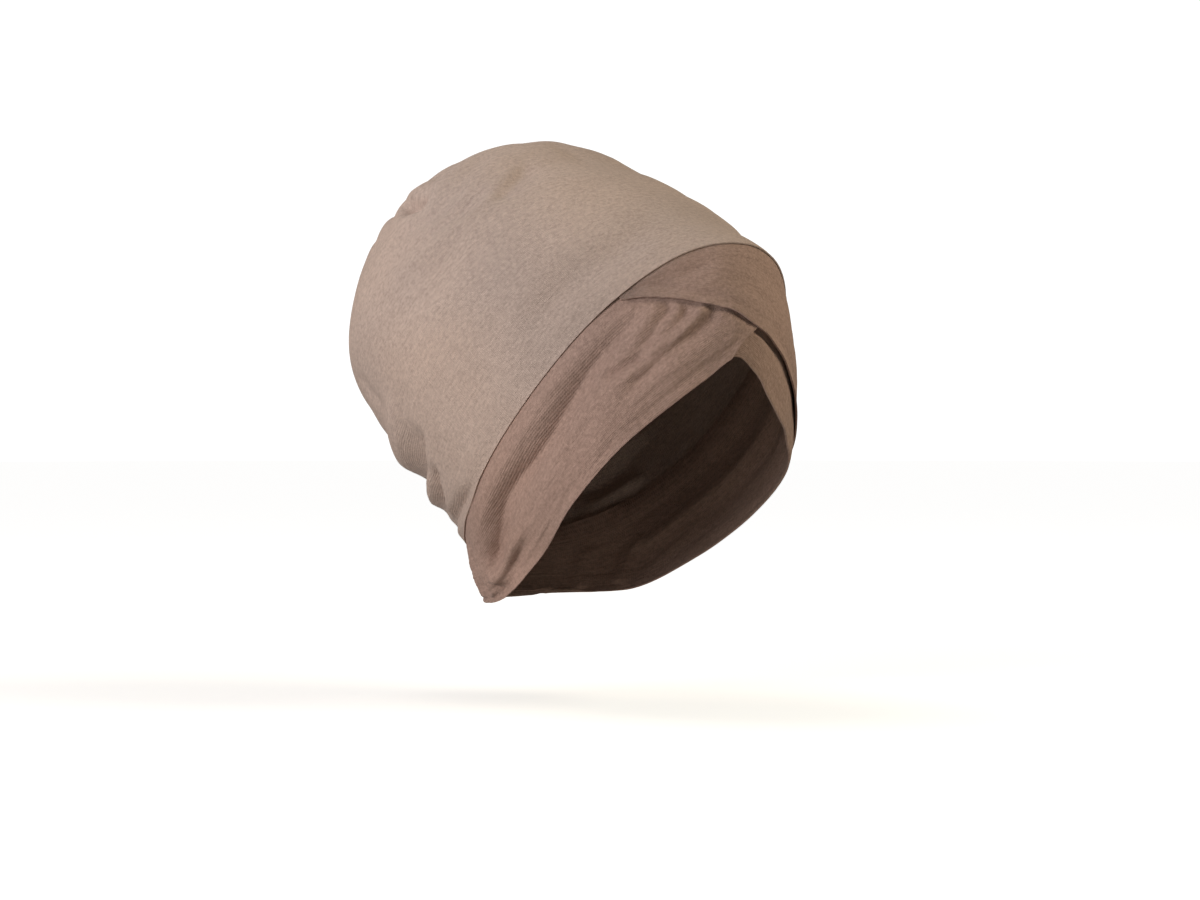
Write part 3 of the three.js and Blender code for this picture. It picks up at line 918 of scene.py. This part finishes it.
@dataclass(frozen=True)
class ClothShader:
    """A material's node tree, and the few ways in which nodes are added to it."""

    tree: bpy.types.NodeTree

    def node(self, kind: str, settings: dict[str, object] | None = None, **sockets: object) -> bpy.types.Node:
        """Adds a node.

        Args:
            kind: The node's type, without its ShaderNode prefix.
            settings: Its own settings, which are set first.
            **sockets: Values or taps of its inputs, with _ for a space in a name, or i0, i1 for a place.

        Returns:
            The node.
        """
        made = self.tree.nodes.new("ShaderNode" + kind)
        for name, value in (settings or {}).items():
            setattr(made, name, value)
        for name, value in sockets.items():
            by_place = name[0] == "i" and name[1:].isdigit()
            target = made.inputs[int(name[1:]) if by_place else name.replace("_", " ")]
            if isinstance(value, Tap):
                self.tree.links.new(value.socket, target)
            else:
                target.default_value = value
        return made

    def tap(self, node: bpy.types.Node, output: str | int = 0) -> Tap:
        """A tap of one of a node's outputs."""
        return Tap(self, node.outputs[output])

    def math(self, operation: str, first: "Tap | float", second: "Tap | float" = 0.0) -> Tap:
        """A tap of a Math node's result."""
        return self.tap(self.node("Math", {"operation": operation}, i0=first, i1=second))

    def noise(self, where: Tap, scale: float, detail: float = 2.0, rough: float = 0.5) -> Tap:
        """A tap of a noise texture's value."""
        made = self.node("TexNoise", None, Vector=where, Scale=scale, Detail=detail, Roughness=rough)
        return self.tap(made)

    def scaled(self, where: Tap, scale: Triple) -> Tap:
        """A tap of coordinates scaled along each axis."""
        return self.tap(self.node("Mapping", None, Vector=where, Scale=scale))

    def mix(self, share: "Tap | float", first: object, second: object, blend: str = "MIX") -> Tap:
        """A tap of two colours mixed.

        Args:
            share: Share of the second, kept within 0 and 1.
            first: A colour, or a tap of one.
            second: Another.
            blend: How they are mixed.

        Returns:
            The tap.
        """
        settings = {"data_type": "RGBA", "blend_type": blend, "clamp_factor": True}
        return self.tap(self.node("Mix", settings, i0=share, i6=first, i7=second), 2)

    @classmethod
    def of(cls, owner: bpy.types.Material | bpy.types.World) -> "ClothShader":
        """The node tree of a material or a world, emptied."""
        owner.use_nodes = True
        owner.node_tree.nodes.clear()
        return cls(owner.node_tree)


@dataclass(frozen=True)
class JerseyFinish:
    """Soft matte knitted jersey, drawn out in fine streaks along the seam.

    Attributes:
        slot: The record's material slot.
        pale: Its linear colour where it is palest.
        deep: Its linear colour where it is deepest.
        wale: Pitch of its rows of stitches.
        course: Length of a stitch.
        relief: Height of its stitches.
        softness: Height of its creases.
        streak_scale: How fine its streaks are, along and across the cloth, in each metre.
        slub_scale: And its thicker yarns.
        crease_scale: And its soft creases.
        fuzz_scale: How fine its fuzz is.
        blotch_scale: How small its paler and deeper places are.
        warmth_scale: And its warmer and cooler ones.
        cool: What the coolest places are tinted with.
        warm: And the warmest.
    """

    slot: str
    pale: Triple
    deep: Triple
    wale: float = 1.1 * MM
    course: float = 1.3 * MM
    relief: float = 0.25 * MM
    softness: float = 1.2 * MM
    streak_scale: Triple = (250.0, 600.0, 1.0)
    slub_scale: Triple = (60.0, 420.0, 1.0)
    crease_scale: Triple = (22.0, 75.0, 1.0)
    fuzz_scale: float = 560.0
    blotch_scale: float = 13.0
    warmth_scale: float = 9.0
    cool: Triple = (0.98, 0.998, 1.015)
    warm: Triple = (1.02, 1.002, 0.975)

    def material(self) -> bpy.types.Material:
        """Makes the finish's material, once.

        Returns:
            The material.
        """
        name = self.slot + " knit"
        made = bpy.data.materials.get(name)
        if made:
            return made
        made = bpy.data.materials.new(name)
        shader = ClothShader.of(made)
        chart = shader.tap(shader.node("UVMap", {"uv_map": CHART}))
        solid = shader.tap(shader.node("TexCoord"), "Object")
        wear = shader.tap(shader.node("Attribute", {"attribute_name": WEAR}), "Fac")
        streak = shader.noise(shader.scaled(chart, self.streak_scale), 1.0, 3.0, 0.65)
        fuzz = shader.noise(solid, self.fuzz_scale, 3.0, 0.7)
        blotch = shader.noise(solid, self.blotch_scale)
        slub = shader.noise(shader.scaled(chart, self.slub_scale), 1.0, 2.0, 0.55)
        stitch = self.stitches(shader, chart, streak)
        parts = ((streak, 2.0), (fuzz, 2.0), (blotch, 0.8), (slub, 0.35), (stitch, 0.25))
        shade = sum(((part - 0.5) * strength for part, strength in parts), 0.5) + wear * 0.1
        colour = shader.mix(shade, (*self.deep, 1.0), (*self.pale, 1.0))
        warmth = (shader.noise(solid, self.warmth_scale) - 0.5) * 2.4 + 0.5
        dyed = shader.mix(1.0, colour, shader.mix(warmth, (*self.cool, 1.0), (*self.warm, 1.0)), "MULTIPLY")
        crease = shader.noise(shader.scaled(chart, self.crease_scale), 1.0, 3.0, 0.55)
        soft = shader.node("Bump", None, Strength=1.0, Distance=self.softness, Height=crease)
        knit = shader.node(
            "Bump",
            None,
            Strength=1.0,
            Distance=self.relief,
            Height=stitch * 0.8 + streak * 1.3 + fuzz * 1.1,
            Normal=shader.tap(soft),
        )
        cloth = shader.node(
            "BsdfPrincipled",
            None,
            Base_Color=dyed,
            Roughness=0.93 - streak * 0.1,
            Specular_IOR_Level=0.2,
            Sheen_Weight=0.12,
            Sheen_Roughness=0.45,
            Sheen_Tint=(1.0, 0.93, 0.88, 1.0),
            Normal=shader.tap(knit),
        )
        shader.node("OutputMaterial", None, Surface=shader.tap(cloth))
        return made

    def stitches(self, shader: ClothShader, chart: Tap, sway: Tap) -> Tap:
        """Rows of slanting stitches.

        Args:
            shader: The material that they are for.
            chart: The cloth's own coordinates.
            sway: What makes them uneven, about 0.5.

        Returns:
            A tap of their height, from 0 to 1.
        """
        split = shader.node("SeparateXYZ", None, Vector=chart)
        across = shader.tap(split, "Y") / self.wale + sway * 0.5
        along = shader.tap(split, "X") / self.course + sway * 0.6
        leaning = shader.math("PINGPONG", across, 0.5)
        row = shader.math("SINE", across * (2 * math.pi)) * 0.5 + 0.5
        stitch = shader.math("SINE", (along + leaning) * (2 * math.pi)) * 0.5 + 0.5
        return row * 0.6 + stitch * 0.4


@dataclass(frozen=True)
class Lamp:
    """A soft square lamp that faces the cap.

    Attributes:
        name: Its name.
        place: Where it hangs.
        size: Its side.
        power: Its power in watts.
        colour: Its colour.
    """

    name: str
    place: Triple
    size: float
    power: float
    colour: Triple

    def hang(self) -> None:
        """Hangs it in the scene."""
        lamp = bpy.data.lights.new(self.name, "AREA")
        lamp.size = self.size
        lamp.energy = self.power
        lamp.color = self.colour
        hung = in_scene(self.name, lamp)
        hung.location = self.place
        hung.rotation_euler = (-Vector(self.place)).to_track_quat("-Z", "Y").to_euler()


@dataclass(frozen=True)
class Studio:
    """A pale floor, soft light and the camera.

    Attributes:
        floor_height: How high the floor lies.
        floor_half: Half its side.
        floor_seen: How pale it looks.
        floor_lit: How much of the light it throws back on the cap.
        glow_near: Metres from the middle up to which the floor glows least.
        glow_far: And from which it glows most.
        glow: How much it glows near by and how much more far off, so that it fades into the air.
        air_tint: Colour of the light that the air gives.
        air_light: How strong that light is.
        camera_place: Where the camera stands.
        camera_turn: Degrees that it is turned from the back of the cap.
        lens: Its focal length in mm.
        lamps: The lamps.
    """

    floor_height: float = -0.181
    floor_half: float = 30.0
    floor_seen: float = 0.9
    floor_lit: float = 0.35
    glow_near: float = 0.3
    glow_far: float = 1.6
    glow: tuple[float, float] = (0.5, 0.4)
    air_tint: Triple = (1.0, 0.95, 0.87)
    air_light: float = 0.1
    camera_place: Triple = (-1.1459, -1.1168, -0.0389)
    camera_turn: float = -45.0
    lens: float = 86.4
    lamps: tuple[Lamp, ...] = (
        Lamp("Side", (-1.594, 0.03, 0.14), 0.7, 18.6, (1.0, 0.99, 0.98)),
        Lamp("High", (-0.22, 0.55, 1.47), 0.8, 5.0, (1.0, 1.0, 0.98)),
        Lamp("Back", (-0.12, 1.31, 0.92), 0.9, 4.0, (1.0, 0.82, 0.66)),
        Lamp("Far", (0.75, -1.07, 0.92), 0.9, 15.0, (1.0, 0.93, 0.74)),
    )

    def build(self) -> None:
        """Makes the floor, the lamps, the air and the camera."""
        self.floor()
        for lamp in self.lamps:
            lamp.hang()
        self.air()
        camera = bpy.data.cameras.new("Camera")
        camera.lens = self.lens
        camera.sensor_width = 36.0
        eye = in_scene("Camera", camera)
        eye.location = self.camera_place
        eye.rotation_euler = (math.radians(90), 0.0, math.radians(self.camera_turn))
        bpy.context.scene.camera = eye
        bpy.context.scene.view_settings.view_transform = "Standard"

    def floor(self) -> None:
        """Lays a wide pale floor."""
        bm = bmesh.new()
        bmesh.ops.create_grid(bm, x_segments=1, y_segments=1, size=self.floor_half)
        bmesh.ops.translate(bm, verts=bm.verts, vec=(0.0, 0.0, self.floor_height))
        mesh = bpy.data.meshes.new("Floor")
        bm.to_mesh(mesh)
        bm.free()
        made = bpy.data.materials.new("Pale floor")
        shader = ClothShader.of(made)
        spot = shader.tap(shader.node("TexCoord"), "Object")
        away = shader.tap(shader.node("VectorMath", {"operation": "LENGTH"}, i0=spot), "Value")
        ease = {"interpolation_type": "SMOOTHSTEP"}
        reach = shader.node("MapRange", ease, Value=away, From_Min=self.glow_near, From_Max=self.glow_far)
        seen = shader.tap(shader.node("LightPath"), "Is Camera Ray")
        near, further = self.glow
        glow = shader.mix(seen * (shader.tap(reach) * further + near), BLACK, WHITE)
        lit, pale = ((grey, grey, grey, 1.0) for grey in (self.floor_lit, self.floor_seen))
        paint = shader.node(
            "BsdfPrincipled",
            None,
            Base_Color=shader.mix(seen, lit, pale),
            Roughness=0.9,
            Specular_IOR_Level=0.1,
            Emission_Color=glow,
            Emission_Strength=1.0,
        )
        shader.node("OutputMaterial", None, Surface=shader.tap(paint))
        mesh.materials.append(made)
        in_scene("Floor", mesh)

    def air(self) -> None:
        """Makes the air round the cap pale."""
        world = bpy.data.worlds.new("Air")
        bpy.context.scene.world = world
        shader = ClothShader.of(world)
        seen = shader.tap(shader.node("LightPath"), "Is Camera Ray")
        tint = shader.mix(seen, (*self.air_tint, 1.0), WHITE)
        air = shader.node("Background", None, Color=tint, Strength=self.air_light + seen * 1.0)
        shader.node("OutputWorld", None, Surface=shader.tap(air))


OVER_EDGE = Curve(
    (
        (-180, 1.0), (-165, 0.97), (-150, 0.93), (-120, 0.88), (-90, 0.84), (-60, 0.77),
        (-40, 0.71), (-25, 0.66), (-12, 0.65), (1, 0.66), (10, 0.63), (17, 0.55), (25, 0.41),
        (33, 0.27), (42, 0.12), (48, 0.03),
    )
)
UNDER_EDGE = Curve(
    (
        (-180, 1.0), (-30, 1.0), (-17, 1.0), (-8, 0.81), (-1, 0.67), (8, 0.57), (17, 0.48),
        (25, 0.37), (33, 0.26), (42, 0.13), (48, 0.03),
    )
)
INNER_EDGE = Curve(
    (
        (-150, 0.96), (-120, 1.0), (-60, 1.0), (0, 1.0), (14, 1.0), (28, 0.93), (90, 0.93),
        (150, 0.9), (180, 0.88),
    ),
    360,
)


def cap_pieces() -> list[ClothPiece]:
    """The cap's pieces, from the outermost in."""
    form = CapForm()
    # The three finishes are copies of one jersey. The bands' colours are darker than the crown's partly as
    # painted shade, for sides that face away from the light. The inner band's colours are darker still as
    # painted shade, inside the cap and under the bands.
    crown = JerseyFinish("crown_jersey", (0.58, 0.442, 0.378), (0.41, 0.307, 0.262))
    band = JerseyFinish("band_jersey", (0.465, 0.307, 0.253), (0.305, 0.2, 0.163))
    inner = JerseyFinish("inner_jersey", (0.43, 0.283, 0.228), (0.285, 0.184, 0.145))
    return [
        Crown(
            form, crown, "crown", CROWN, columns=288, rows=136, wall=0.8 * MM, cut=(0.7, 0.25),
            cut_area=0.15,
        ),
        CrossedBand(
            form, band, "over_band", OVER, columns=340, rows=56, wall=1.0 * MM, cut=(0.45, 0.07),
            cut_area=0.025, closed=False, edge=OVER_EDGE, side=-1,
        ),
        CrossedBand(
            form, band, "under_band", UNDER, columns=340, rows=72, wall=1.0 * MM, cut=(0.45, 0.07),
            cut_area=0.025, closed=False, edge=UNDER_EDGE, passes_under=True,
        ),
        InnerBand(
            form, inner, "inner_band", INNER, columns=420, rows=50, wall=1.0 * MM, cut=(0.64, 0.07),
            cut_area=0.042, edge=INNER_EDGE,
        ),
    ]


def main() -> None:
    """Builds the cap piece by piece, then the studio round it."""
    logging.basicConfig(level=logging.INFO, format="%(message)s")
    for cloth in cap_pieces():
        piece = cloth.build()
        cloth.dress(piece)
        log.info("%s: %d faces before its wall", piece.name, len(piece.data.polygons))
    Studio().build()


if __name__ == "__main__":
    main()
